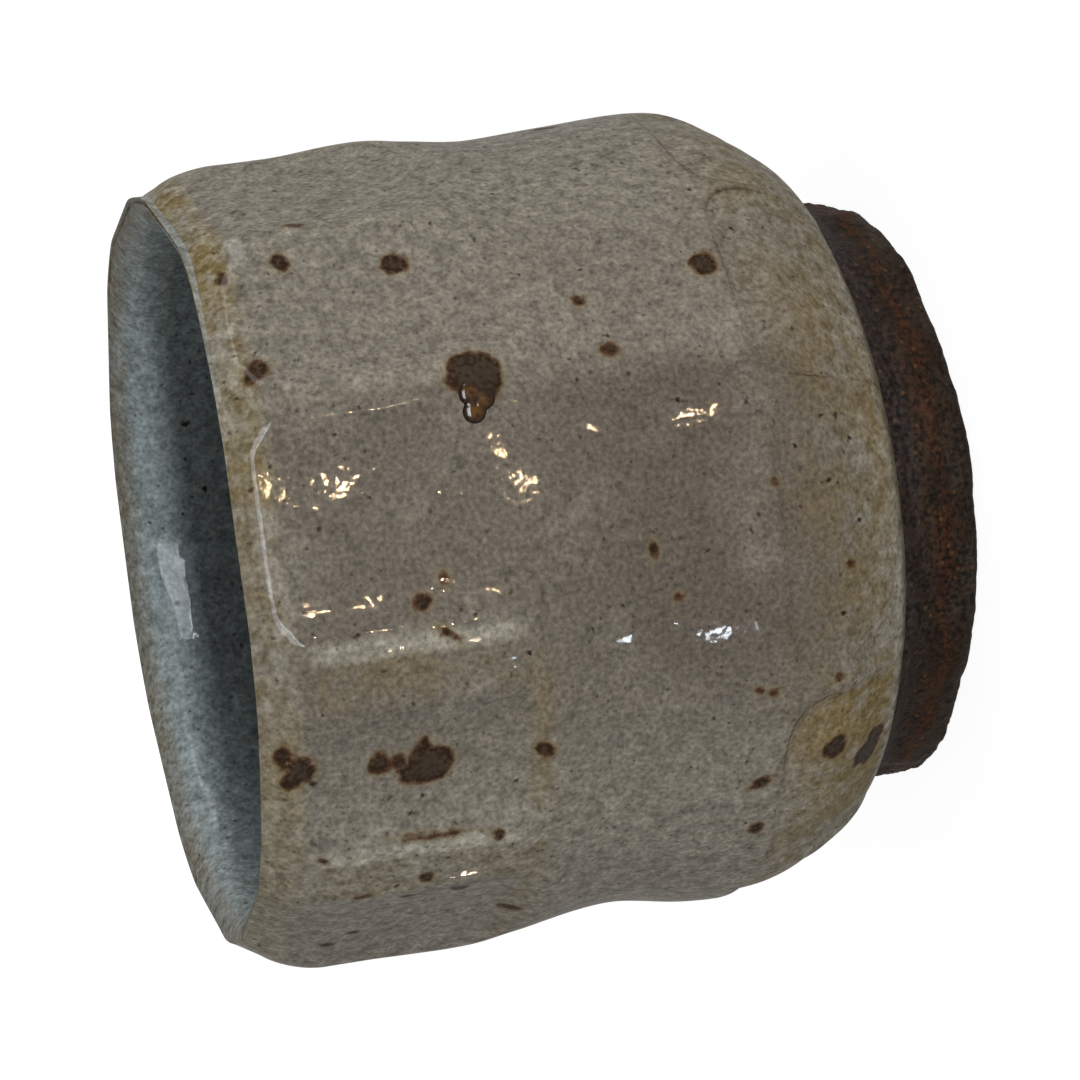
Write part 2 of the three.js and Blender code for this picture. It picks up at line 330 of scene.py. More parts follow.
def inside_profile(rows):
    """Liner surface from the crest of the lip down to the middle of the floor."""
    r = INNER_RADIUS
    return spline([
        (CREST_RADIUS, HEIGHT),
        (CREST_RADIUS - 1.7 * MM, HEIGHT - 0.8 * MM),
        (r + 0.9 * MM, HEIGHT - 3.2 * MM),
        (r + 0.2 * MM, HEIGHT - 7 * MM),
        (r, HEIGHT - 16 * MM),
        (r - 0.2 * MM, HEIGHT - 28 * MM),
        (r - 1 * MM, FLOOR_TOP + FLOOR_CORNER),
        (r - 4.2 * MM, FLOOR_TOP + FLOOR_CORNER * 0.35),
        (r - FLOOR_CORNER, FLOOR_TOP + 0.7 * MM),
        (r * 0.3, FLOOR_TOP),
        (0.2 * MM, FLOOR_TOP),
    ], rows)


def mouth_draw_in(angle):
    """How much narrower the mouth is from side to side."""
    side = np.sin(angle)
    return MOUTH_OVAL * side ** 2 * (1 - 0.3 * side)


def draw_in(angle, height):
    """How far the outside is drawn in, for rows of heights and columns of angles."""
    height = np.asarray(height)[:, None]
    foot = FOOT_OVAL * np.sin(angle) ** 2 * (1 - smoothstep(height, GLAZE_LINE, GLAZE_LINE + 5 * MM))
    right = np.maximum(np.sin(angle), 0)
    lean = SIDE_LEAN * right ** 2 * smoothstep(height, BAND_BASE, BAND_BASE + 12 * MM)
    off = (np.asarray(angle) - DENT_TURN + math.pi) % TURN - math.pi
    dent = SIDE_DENT * np.exp(-(off / DENT_SPREAD) ** 2 - ((height - DENT_LEVEL) / DENT_HEIGHT) ** 2)
    return foot + lean + dent + mouth_draw_in(angle) * smoothstep(height, HEIGHT - 8 * MM, HEIGHT)


def mouth_follow(angle, height):
    """The same inside the mouth, fading out down the wall."""
    return mouth_draw_in(angle) * (1 - smoothstep(HEIGHT - np.asarray(height)[:, None], 0, 9 * MM))


def lip_sag(angle, height):
    """How far the lip dips on its right-hand side, for rows of heights and columns of angles."""
    dip = np.exp(-((angle - SAG_TURN) / SAG_SPREAD) ** 2)
    return LIP_SAG * dip * smoothstep(np.asarray(height)[:, None], HEIGHT - 14 * MM, HEIGHT)


def around(columns):
    return np.linspace(0, TURN, columns, endpoint=False)


def gap_at(angle, edges):
    """Number of the gap that holds each angle, how far into it the angle lies, and its width."""
    number = np.zeros(len(angle), int)
    into = np.zeros(len(angle))
    width = np.zeros(len(angle))
    for i, edge in enumerate(edges):
        span = math.radians((edges[(i + 1) % len(edges)] - edge) % 360)
        turn = (angle - math.radians(edge)) % TURN
        own = turn < span
        number[own] = i
        into[own] = turn[own]
        width[own] = span
    return number, into, width


def cuts_at(angle):
    """Middle and half width of the facet and the low scoop at each angle, and how the facet ends."""
    ribs = np.array(RIBS)
    number, into, width = gap_at(angle, ribs[:, 0])
    rib_half = ribs[:, 1] * MM / 2 / BODY_RADIUS
    start = rib_half[number]
    stop = width - rib_half[(number + 1) % len(ribs)]
    _, low_into, low_width = gap_at(angle, LOW_CUT_EDGES)
    return {
        "facet_middle": angle - into + (start + stop) / 2,
        "facet_half": (stop - start) / 2,
        "facet_end": ribs[number, 2] * MM,
        "facet_fade": ribs[number, 3] * MM,
        "low_middle": angle - low_into + low_width / 2,
        "low_half": low_width / 2,
    }


def ring_mesh(name, rows, columns, closed, pulled=0, lowered=0, attributes=None, sharp_rows=()):
    """Mesh through rings of points. Rows list radius and height, less what is pulled in and lowered.
    Closed joins the last ring to the first; otherwise both ends close in a pole."""
    angle = around(columns)
    rows = np.asarray(rows)
    count = len(rows)
    radius = rows[:, 0:1] - pulled
    x = radius * np.sin(angle)
    y = -radius * np.cos(angle)
    z = np.repeat(rows[:, 1:2], columns, axis=1) - lowered
    points = np.stack([x, y, z], axis=-1).reshape(-1, 3)
    grid = np.arange(count * columns).reshape(count, columns)
    if closed:
        grid = np.vstack([grid, grid[:1]])
    low, high = grid[:-1], grid[1:]
    quads = np.stack([low, np.roll(low, -1, 1), np.roll(high, -1, 1), high], axis=-1)
    quads = quads.reshape(-1, 4).tolist()
    if not closed:
        first, last = len(points), len(points) + 1
        points = np.vstack([points, [[0, 0, rows[0, 1]], [0, 0, rows[-1, 1]]]])
        quads += [[first, grid[0, (k + 1) % columns], grid[0, k]] for k in range(columns)]
        quads += [[last, grid[-1, k], grid[-1, (k + 1) % columns]] for k in range(columns)]
    mesh = bpy.data.meshes.new(name)
    mesh.from_pydata(points, [], quads)
    mesh.shade_smooth()
    values = {"angle": np.tile((angle + math.pi) % TURN - math.pi, count)}
    for key, value in (attributes or {}).items():
        values[key] = np.repeat(value, columns)
    values.update(cuts_at(values["angle"]))
    for key, value in values.items():
        full = np.zeros(len(points), np.float32)
        full[:len(value)] = value
        mesh.attributes.new(key, "FLOAT", "POINT").data.foreach_set("value", full)
    if len(sharp_rows):
        keys = {tuple(sorted((int(grid[k, j]), int(grid[k, (j + 1) % columns]))))
                for k in sharp_rows for j in range(columns)}
        flags = [tuple(sorted(edge.vertices)) in keys for edge in mesh.edges]
        mesh.attributes.new("sharp_edge", "BOOLEAN", "EDGE").data.foreach_set("value", flags)
    return mesh


def place(name, mesh):
    piece = bpy.data.objects.new(name, mesh)
    bpy.context.scene.collection.objects.link(piece)
    return piece


def flatten(piece):
    """Turns a piece with its live node tree into a plain mesh."""
    bpy.context.view_layer.update()
    evaluated = piece.evaluated_get(bpy.context.evaluated_depsgraph_get())
    mesh = bpy.data.meshes.new_from_object(evaluated)
    piece.modifiers.clear()
    piece.data = mesh
    return piece


def run_tree(piece, tree, values):
    """Puts a node tree on a piece, sets its inputs by identifier and makes the result its mesh."""
    modifier = piece.modifiers.new(tree.name, "NODES")
    modifier.node_group = tree
    for item in tree.interface.items_tree:
        if item.in_out == "INPUT" and item.name in values:
            modifier[item.identifier] = values[item.name]
    return flatten(piece)


def vertex_points(mesh):
    points = np.zeros(len(mesh.vertices) * 3, np.float32)
    mesh.vertices.foreach_get("co", points)
    return points.reshape(-1, 3)


def read(mesh, name):
    values = np.zeros(len(mesh.vertices), np.float32)
    mesh.attributes[name].data.foreach_get("value", values)
    return values


def write(mesh, name, values):
    found = mesh.attributes.get(name) or mesh.attributes.new(name, "FLOAT", "POINT")
    found.data.foreach_set("value", np.asarray(values, np.float32))


def facet_tree():
    """Node tree that cuts the facets and the low scoops into a thrown form and lets its surface wander."""
    tree = bpy.data.node_groups.new("Cut facets", "GeometryNodeTree")
    add = partial(add_node, tree)
    face = tree.interface
    face.new_socket("Geometry", in_out="INPUT", socket_type="NodeSocketGeometry")
    sizes = {
        "Body Radius": BODY_RADIUS,
        "Scoop": FACET_HOLLOW,
        "Edge Round": EDGE_ROUND,
        "Band Base": BAND_BASE,
        "Corner Round": 3 * MM,
        "Lip Edge": LIP_EDGE,
        "Height": HEIGHT,
        "Lip Share": 0.15,
        "Low Cut Depth": 0.55 * MM,
        "Glaze Line": GLAZE_LINE,
        "Low Cut Base": LOW_CUT_BASE,
        "Low Cut Top": LOW_CUT_TOP,
        "Wander": WANDER,
        "Edge Wander": 0.03,
    }
    for key, value in sizes.items():
        face.new_socket(key, in_out="INPUT", socket_type="NodeSocketFloat").default_value = value
    face.new_socket("Material", in_out="INPUT", socket_type="NodeSocketMaterial")
    face.new_socket("Geometry", in_out="OUTPUT", socket_type="NodeSocketGeometry")
    source = add("NodeGroupInput").node.outputs
    angle, thrown, height, share, middle, half, drop, fade, low_middle, low_half = [
        add("GeometryNodeInputNamedAttribute", {"Name": key}, data_type="FLOAT") for key in CUT_LAYERS]

    # The knife wanders a little along each edge
    place_now = add("GeometryNodeInputPosition")
    swerve = add("TexNoise", {"Vector": place_now, "Scale": 1 / (11 * MM), "Detail": 1.0},
                 noise_dimensions="3D")
    centred = add("Math", [swerve, 0.5], operation="SUBTRACT")
    turned = add("Math", [centred, source["Edge Wander"], angle], operation="MULTIPLY_ADD")

    # Flat of the facet, a little hollow
    off = add("Math", [turned, middle], operation="SUBTRACT")
    wrapped = add("Math", [off, math.pi, -math.pi], operation="WRAP")
    cos_off = add("Math", [wrapped], operation="COSINE")
    cos_half = add("Math", [half], operation="COSINE")
    ratio = add("Math", [cos_half, cos_off], operation="DIVIDE")
    flat = add("Math", [ratio, source["Body Radius"]], operation="MULTIPLY")
    across = add("Math", [wrapped, half], operation="DIVIDE")
    square = add("Math", [across, across], operation="MULTIPLY")
    steep = add("Math", [square, 3.0], operation="POWER")
    bowl = add("Math", [1.0, steep], operation="SUBTRACT")
    hollow = add("Math", [bowl, source["Scoop"]], operation="MULTIPLY")
    floor = add("Math", [flat, hollow], operation="SUBTRACT")
    kept = add("Math", [thrown, floor, source["Edge Round"]], operation="SMOOTH_MIN")
    depth = add("Math", [thrown, kept], operation="SUBTRACT")

    # Lower end of each facet and the round of the lip
    level = add("Math", [source["Band Base"], drop], operation="SUBTRACT")
    corner = add("Math", [square, 2.0], operation="POWER")
    near = add("Math", [corner, 1.2], operation="MINIMUM")
    end = add("Math", [near, source["Corner Round"], level], operation="MULTIPLY_ADD")
    below = add("Math", [fade, -0.6, end], operation="MULTIPLY_ADD")
    above = add("Math", [fade, 0.4, end], operation="MULTIPLY_ADD")
    rise = add("MapRange", [height, below, above], interpolation_type="SMOOTHSTEP")
    over = add("MapRange", [height, source["Lip Edge"], source["Height"]], interpolation_type="SMOOTHSTEP")
    lost = add("Math", [over, source["Lip Share"]], operation="MULTIPLY")
    left = add("Math", [1.0, lost], operation="SUBTRACT")
    faded = add("Math", [depth, rise], operation="MULTIPLY")
    facet = add("Math", [faded, left], operation="MULTIPLY")

    # Round-topped scoops beside the foot
    aside = add("Math", [turned, low_middle], operation="SUBTRACT")
    near_by = add("Math", [aside, math.pi, -math.pi], operation="WRAP")
    side = add("Math", [near_by, low_half], operation="DIVIDE")
    width = add("Math", [side], operation="ABSOLUTE")
    wide = add("Math", [width, 5.0], operation="POWER")
    climb = add("MapRange", [height, source["Low Cut Base"], source["Low Cut Top"], 0.0, 1.2], clamp=True)
    tall = add("Math", [climb, 5.0], operation="POWER")
    brim = add("Math", [wide, tall], operation="ADD")
    within = add("MapRange", [brim, 0.5, 1.0, 1.0, 0.0], interpolation_type="SMOOTHSTEP")
    up = add("MapRange", [height, source["Glaze Line"], source["Low Cut Base"]],
             interpolation_type="SMOOTHSTEP")
    shape = add("Math", [within, up], operation="MULTIPLY")
    low = add("Math", [shape, source["Low Cut Depth"]], operation="MULTIPLY")

    # Unevenness left by the hand
    uneven = add("TexNoise", {"Vector": place_now, "Scale": 1 / (16 * MM), "Detail": 2.0},
                 noise_dimensions="3D")
    bumpy = add("Math", [uneven, 0.05], operation="ADD")
    stray = add("Math", [bumpy, source["Wander"]], operation="MULTIPLY")
    cuts = add("Math", [facet, low], operation="ADD")
    drawn = add("Math", [cuts, stray], operation="ADD")
    own = add("Math", [drawn, share], operation="MULTIPLY")

    # Move every point towards the axis
    sine = add("Math", [angle], operation="SINE")
    cosine = add("Math", [angle], operation="COSINE")
    back = add("Math", [sine, -1.0], operation="MULTIPLY")
    towards = add("CombineXYZ", [back, cosine])
    shift = add("VectorMath", {0: towards, "Scale": own}, operation="SCALE")
    moved = add("GeometryNodeSetPosition", {"Geometry": source["Geometry"], "Offset": shift})
    stored = add("GeometryNodeStoreNamedAttribute", {"Geometry": moved, "Name": "low_cut", "Value": within},
                 data_type="FLOAT", domain="POINT")
    real = add("GeometryNodeRealizeInstances", [stored])
    dressed = add("GeometryNodeSetMaterial", {"Geometry": real, "Material": source["Material"]})
    add("NodeGroupOutput", [dressed])
    return tree


def spot_distance(points):
    """Signed distance in mm from each point of the outside to the edge of the nearest iron spot."""
    angle = np.arctan2(points[:, 0], -points[:, 1])
    height = points[:, 2] / MM
    nearest = np.full(len(points), NO_SPOT)
    for turn, level, long, wide, tilt in IRON_SPOTS:
        off = (angle - math.radians(turn) + math.pi) % TURN - math.pi
        u = off * BODY_RADIUS / MM
        v = height - level
        c, s = math.cos(math.radians(tilt)), math.sin(math.radians(tilt))
        along = (u * s + v * c) / long
        over = (u * c - v * s) / wide
        nearest = np.minimum(nearest, (np.hypot(along, over) - 1) * min(long, wide))
    return nearest


def dress(mesh, inside):
    """Writes the layers that the glaze material reads."""
    points = vertex_points(mesh)
    z = points[:, 2]
    turn = read(mesh, "angle")
    layers = {key: np.zeros(len(points)) for key in GLAZE_LAYERS}
    if inside:
        crest = smoothstep(z, HEIGHT - 2.2 * MM, HEIGHT - 0.4 * MM)
        layers["spot"] += NO_SPOT
        layers["thin"] = 0.35 * crest
        layers["liner"] = 1 - 0.65 * crest
        # Painted shade: the liner darkens from about 4 to 5.8 mm below the crest, a little nearer the crest
        # on the -X side, standing for the shade inside below the lip
        layers["deep"] = 1 - smoothstep(z + np.sin(turn) * MM, HEIGHT - 5.8 * MM, HEIGHT - 4 * MM)
    else:
        degrees = np.degrees(turn)
        level = read(mesh, "thrown_height")
        low_cut = read(mesh, "low_cut")
        rib = np.zeros(len(points))
        flank = np.zeros(len(points))
        for angle, width, _, _ in RIBS:
            off = ((degrees - angle + 180) % 360 - 180) * math.radians(BODY_RADIUS) / MM
            edge = width / 2
            strong = min(1, max(0.15, (width - 2) / 4.5))
            crest = 1 - smoothstep(np.abs(off), edge - 0.6, edge + 0.3)
            side = smoothstep(off, edge - 2.1, edge - 1.5) * (1 - smoothstep(off, edge - 0.4, edge + 0.3))
            rib = np.maximum(rib, strong * crest)
            flank = np.maximum(flank, strong * side)
        band = smoothstep(level, BAND_BASE - 1 * MM, BAND_BASE + 3 * MM)
        band *= 1 - smoothstep(level, HEIGHT - 6 * MM, HEIGHT - 3.5 * MM)
        rib *= band
        flank *= band
        lip = smoothstep(level, HEIGHT - 4.5 * MM, HEIGHT - 2.5 * MM)
        ledge = np.exp(-((level - BAND_BASE + read(mesh, "facet_end")) / (1.2 * MM)) ** 2)
        ledge *= read(mesh, "facet_fade") < 6 * MM
        foot = 1 - smoothstep(level, GLAZE_LINE + 2 * MM, GLAZE_LINE + 19 * MM)
        # Rolled edge over the foot: pooled milky glaze, made paler still as a painted highlight of the roll
        bead_and_highlight = 1 - smoothstep(level, GLAZE_LINE + 2 * MM, GLAZE_LINE + 2.8 * MM)
        tan = low_cut * smoothstep(degrees, -110, -85) * (1 - smoothstep(degrees, -31, -24))
        thin = 0.38 * rib * (1 - flank) + (0.62 + 0.35 * np.sin(turn)) * lip
        thin += 0.4 * ledge + 0.7 * foot + 0.4 * tan
        front = smoothstep(degrees, -48, -12) * (1 - smoothstep(degrees, 16, 23))
        away = 0.45 * np.exp(-((np.abs(degrees) - 160) / 40) ** 2)
        # Painted shade: more of the dark mauve low on the wall, fading out between 32 and 44 mm, darkens
        # the lower belly as shade would
        belly_shade = 1 - smoothstep(z, 32 * MM, 44 * MM)
        beside = (0.18 + 0.15 * belly_shade) * smoothstep(degrees, 16, 23) * (1 - smoothstep(degrees, 38, 50))
        mauve = (0.72 + 0.28 * belly_shade) * (front + away) + beside
        layers["spot"] = spot_distance(points)
        layers["thin"] = np.clip(thin, 0, 1) * (1 - 0.5 * bead_and_highlight)
        # Pale share: glaze pooled beside the ribs and on the lip, and on the rolled edge partly a painted
        # highlight
        layers["pool_and_highlight"] = np.clip(0.8 * flank + 0.45 * bead_and_highlight + 0.35 * lip, 0, 1)
        layers["seam"] = low_cut * ((degrees < LOW_CUT_EDGES[2]) | (degrees > LOW_CUT_EDGES[3]))
        # The mauve layer holds the mauve of thick glaze and also the painted shade of the lower belly
        layers["mauve"] = mauve * smoothstep(z, 11 * MM, 20 * MM)
    for key, value in layers.items():
        write(mesh, key, value)


def blank_material(name):
    """New material with an empty node tree, and what adds a node to it."""
    material = bpy.data.materials.new(name)
    material.use_nodes = True
    material.node_tree.nodes.clear()
    return material, partial(add_node, material.node_tree)


def glaze_material(settings):
    """Ash glaze on iron-bearing stoneware, fired glossy: a grey glass with milky depth, mauve where thick,
    olive-brown where it thins over edges, with fine crackle, iron specks and rust-rimmed spots.
    Painted shade darkens the low belly and the liner below the lip; a painted highlight pales the rolled
    edge over the foot."""
    material, add = blank_material(ASH_GLAZE)
    place_in = add("TexCoord", out="Object")
    read_in = {}
    for key in GLAZE_LAYERS:
        read_in[key] = add("Attribute", out="Fac", attribute_name=key, attribute_type="GEOMETRY")

    # Clouds, mottle, grain and the dimples of a run glaze: size in mm and detail
    clouds, mottle, grain, dimples = [
        add("TexNoise", {"Vector": place_in, "Scale": 1 / (size * MM), "Detail": detail})
        for size, detail in ((9, 3.0), (1.3, 4.0), (0.45, 2.0), (1.1, 1.0))]

    # Body colour: olive grey, mauve where thick, pale where pooled, blue-grey inside; painted shade darkens
    # the low belly and the liner below the lip, and a painted highlight pales the rolled edge
    drift = add("MapRange", [clouds, 0.1, 0.5])
    flecked = add("MapRange", [mottle, 0.35, 0.6, 0.6, 1.15])
    thick = add("Math", [read_in["mauve"], drift], operation="MULTIPLY")
    mauve = add("Math", [thick, flecked], operation="MULTIPLY", use_clamp=True)
    base = add("Mix", {0: mauve, 6: settings.glaze_grey, 7: settings.glaze_mauve}, **COLOUR_MIX)
    pooled = add("Mix", {0: read_in["pool_and_highlight"], 6: base, 7: settings.glaze_pooled}, **COLOUR_MIX)
    # Painted shade: the liner turns to its darker colour below the lip
    lining = add("Mix", {0: read_in["deep"], 6: settings.liner_pale, 7: settings.liner_deep_shade}, **COLOUR_MIX)
    inner = add("Mix", {0: read_in["liner"], 6: pooled, 7: lining}, **COLOUR_MIX)

    # Thin coat, showing where the mottle is dark
    ragged = add("Math", [clouds, mottle], operation="SUBTRACT")
    broken = add("MapRange", [ragged, -0.18, 0.16, 0.05, 1.15])
    thin = add("Math", [read_in["thin"], broken], operation="MULTIPLY", use_clamp=True)
    olive = add("Mix", {0: thin, 6: inner, 7: settings.glaze_thin}, **COLOUR_MIX)

    # Fine rust line along the brim of a scoop
    from_brim = add("Math", [read_in["seam"], 0.3], operation="SUBTRACT")
    beside = add("Math", [from_brim], operation="ABSOLUTE")
    drawn_line = add("MapRange", [beside, 0.0, 0.2, 0.7, 0.0])
    gaps = add("MapRange", [clouds, 0.45, 0.6])
    line = add("Math", [drawn_line, gaps], operation="MULTIPLY")
    lined = add("Mix", {0: line, 6: olive, 7: settings.spot_rim}, **COLOUR_MIX)

    # Milky mottle, grain, and crackle in cells of 0.9 mm drawn as faint pale threads
    swirl = add("TexNoise", {"Vector": place_in, "Scale": 1 / (1.2 * MM), "Detail": 1.0}, out=1)
    bent = add("VectorMath", [swirl, (0.6 * MM,) * 3, place_in], operation="MULTIPLY_ADD")
    cracks = add("TexVoronoi", {"Vector": bent, "Scale": 1 / (0.9 * MM)}, feature="DISTANCE_TO_EDGE")
    thread = add("MapRange", [cracks, 0.0, 0.1, 1.13, 1.0])
    light = add("MapRange", [mottle, 0.3, 0.7, 0.68, 1.31])
    fine = add("MapRange", [grain, 0.25, 0.75, 0.6, 1.38])
    tone = add("Math", [light, fine], operation="MULTIPLY")
    whole = add("Math", [tone, thread], operation="MULTIPLY")
    toned = add("VectorMath", {0: lined, "Scale": whole}, operation="SCALE")

    # Pale bubbles and dark iron specks: pitch of the cells, share that hold one, smallest and widest radius
    # in mm, strength and colour
    shaky = add("MapRange", [grain, 0.3, 0.7, 0.6, 1.5])
    speckled = toned
    for pitch, share, small, wide, strength, colour in (
        (1.1, 0.3, 0.08, 0.22, 0.22, settings.glaze_pooled),
        (0.9, 0.55, 0.07, 0.18, 0.5, settings.speck),
        (2.0, 0.4, 0.1, 0.24, 0.75, settings.speck),
        (3.9, 0.45, 0.18, 0.4, 0.92, settings.speck),
    ):
        cells = add("TexVoronoi", {"Vector": bent, "Scale": 1 / (pitch * MM)}).node.outputs
        lot = add("SeparateColor", [cells["Color"]]).node.outputs
        some = add("Math", [lot[0], share], operation="LESS_THAN")
        reach = add("MapRange", {0: lot[1], 3: small / pitch, 4: wide / pitch})
        far = add("Math", [cells["Distance"], shaky], operation="MULTIPLY")
        ratio = add("Math", [far, reach], operation="DIVIDE")
        soft = add("MapRange", [ratio, 0.6, 1.3, strength, 0.0])
        dot = add("Math", [soft, some], operation="MULTIPLY", use_clamp=True)
        speckled = add("Mix", {0: dot, 6: speckled, 7: colour}, **COLOUR_MIX)

    # Iron spots: olive halo, rust rim, dark ring and grey-brown heart with dark flecks
    frayed = add("MapRange", [mottle, 0.3, 0.7, -0.25, 0.25])
    edge = add("Math", [read_in["spot"], frayed], operation="ADD")
    ember = add("MapRange", [grain, 0.35, 0.55, 0.6, 1.0])
    fleck = add("MapRange", [grain, 0.5, 0.66, 0.0, 0.7])
    heart = add("Mix", {0: fleck, 6: settings.spot_heart, 7: settings.speck}, **COLOUR_MIX)
    spotted = speckled
    for inner_edge, outer_edge, strength, colour in (
        (0.0, 0.55, 0.6, settings.glaze_thin),
        (-0.05, 0.2, 0.85, settings.spot_rim),
        (-0.25, -0.05, 0.85, settings.speck),
        (-0.9, -0.35, 0.9, heart),
    ):
        cover = add("MapRange", [edge, inner_edge, outer_edge, strength, 0.0])
        worn = add("Math", [cover, ember], operation="MULTIPLY")
        spotted = add("Mix", {0: worn, 6: spotted, 7: colour}, **COLOUR_MIX)

    # Gloss over the dimples and over low blisters in some cells of 3.4 mm
    blisters = add("TexVoronoi", {"Vector": bent, "Scale": 1 / (3.4 * MM)}).node.outputs
    drawn = add("SeparateColor", [blisters["Color"]])
    dome = add("MapRange", [blisters["Distance"], 0.0, 0.26, 1.4, 0.0], interpolation_type="SMOOTHSTEP")
    raised = add("Math", [drawn, 0.45], operation="LESS_THAN")
    relief = add("Math", [dome, raised, dimples], operation="MULTIPLY_ADD")
    bump = add("Bump", {"Strength": 1.0, "Distance": 0.026 * MM, "Height": relief})
    shader = add("BsdfPrincipled", {
        "Base Color": spotted,
        "Roughness": 0.7,
        "IOR": 1.5,
        "Specular IOR Level": 0.0,
        "Coat Weight": 0.12,
        "Coat Roughness": 0.06,
        "Coat IOR": 1.5,
        "Coat Normal": bump,
    })
    add("OutputMaterial", [shader])
    return material


def clay_material(settings):
    """Bare iron-bearing stoneware, cut with a knife and fired: dry and dark, purple-grey under the glaze,
    rust-red flashing along the middle, grey-brown on the worn edge."""
    material, add = blank_material(BARE_CLAY)
    place_in = add("TexCoord", out="Object")
    height = add("SeparateXYZ", [place_in], out=2)
    long_grain = add("Mapping", {0: place_in, 3: (1, 1, 3.5)})
    streaks = add("TexNoise", {"Vector": long_grain, "Scale": 1 / (7 * MM), "Detail": 5.0})
    grit = add("TexNoise", {"Vector": place_in, "Scale": 1 / (0.5 * MM), "Detail": 3.0})
    level = add("Math", [streaks, 5.5 * MM, height], operation="MULTIPLY_ADD")
    upper = add("MapRange", [level, 7.6 * MM, 9 * MM])
    lower = add("MapRange", [level, 3.4 * MM, 5 * MM, 1.0, 0.0])
    band = add("Mix", {0: upper, 6: settings.clay_brown, 7: settings.clay_purple}, **COLOUR_MIX)
    sides = add("Mix", {0: lower, 6: band, 7: settings.clay_edge}, **COLOUR_MIX)
    patch = add("MapRange", [streaks, 0.35, 0.65, 0.0, 0.7])
    plain = add("Mix", {0: patch, 6: sides, 7: settings.clay_dark}, **COLOUR_MIX)
    from_line = add("Math", [level, 6.4 * MM], operation="SUBTRACT")
    beside = add("Math", [from_line], operation="ABSOLUTE")
    flash = add("MapRange", [beside, 0.1 * MM, 1.0 * MM, 0.4, 0.0])
    mixed = add("Mix", {0: flash, 6: plain, 7: settings.clay_rust}, **COLOUR_MIX)
    tone = add("MapRange", [grit, 0.35, 0.65, 0.2, 1.9])
    colour = add("VectorMath", {0: mixed, "Scale": tone}, operation="SCALE")
    grog = add("TexVoronoi", {"Vector": place_in, "Scale": 1 / (0.8 * MM)}).node.outputs
    lot = add("SeparateColor", [grog["Color"]]).node.outputs
    some = add("Math", [lot[0], 0.18], operation="LESS_THAN")
    near = add("MapRange", [grog["Distance"], 0.12, 0.35, 0.5, 0.0])
    grain = add("Math", [some, near], operation="MULTIPLY")
    gritty = add("Mix", {0: grain, 6: colour, 7: settings.clay_grog}, **COLOUR_MIX)
    bump = add("Bump", {"Strength": 1.0, "Distance": 0.35 * MM, "Height": grit})
    rough = add("MapRange", [grit, 0.3, 0.7, 0.5, 0.85])
    shader = add("BsdfPrincipled", {
        "Base Color": gritty,
        "Roughness": rough,
        "IOR": 1.45,
        "Specular IOR Level": 0.06,
        "Normal": bump,
    })
    add("OutputMaterial", [shader])
    return material


def amber_material(settings):
    """Amber glass, run together over iron and fired glossy: dark where it thins at the edge, honey in the
    middle."""
    material, add = blank_material(AMBER_RUN)
    rise = add("Attribute", out="Fac", attribute_name="rise", attribute_type="GEOMETRY")
    thick = add("MapRange", [rise, 0.2, 0.5])
    place_in = add("TexCoord", out="Object")
    cloud = add("TexNoise", {"Vector": place_in, "Scale": 1 / (0.6 * MM), "Detail": 2.0})
    patchy = add("MapRange", [cloud, 0.35, 0.6, 0.2, 1.0])
    share = add("Math", [thick, patchy], operation="MULTIPLY")
    colour = add("Mix", {0: share, 6: settings.drip_thin, 7: settings.drip_thick}, **COLOUR_MIX)
    shader = add("BsdfPrincipled", {
        "Base Color": colour,
        "Roughness": 0.06,
        "IOR": 1.5,
        "Specular IOR Level": 0.15,
    })
    add("OutputMaterial", [shader])
    return material


def finish(name, settings):
    """Material of a finish, made once."""
    makers = {ASH_GLAZE: glaze_material, BARE_CLAY: clay_material, AMBER_RUN: amber_material}
    return bpy.data.materials.get(name) or makers[name](settings)


def colour(name, description, code):
    """Colour property with its default as sRGB hex."""
    return bpy.props.FloatVectorProperty(
        name=name, description=description, size=4, subtype="COLOR", default=linear(code))


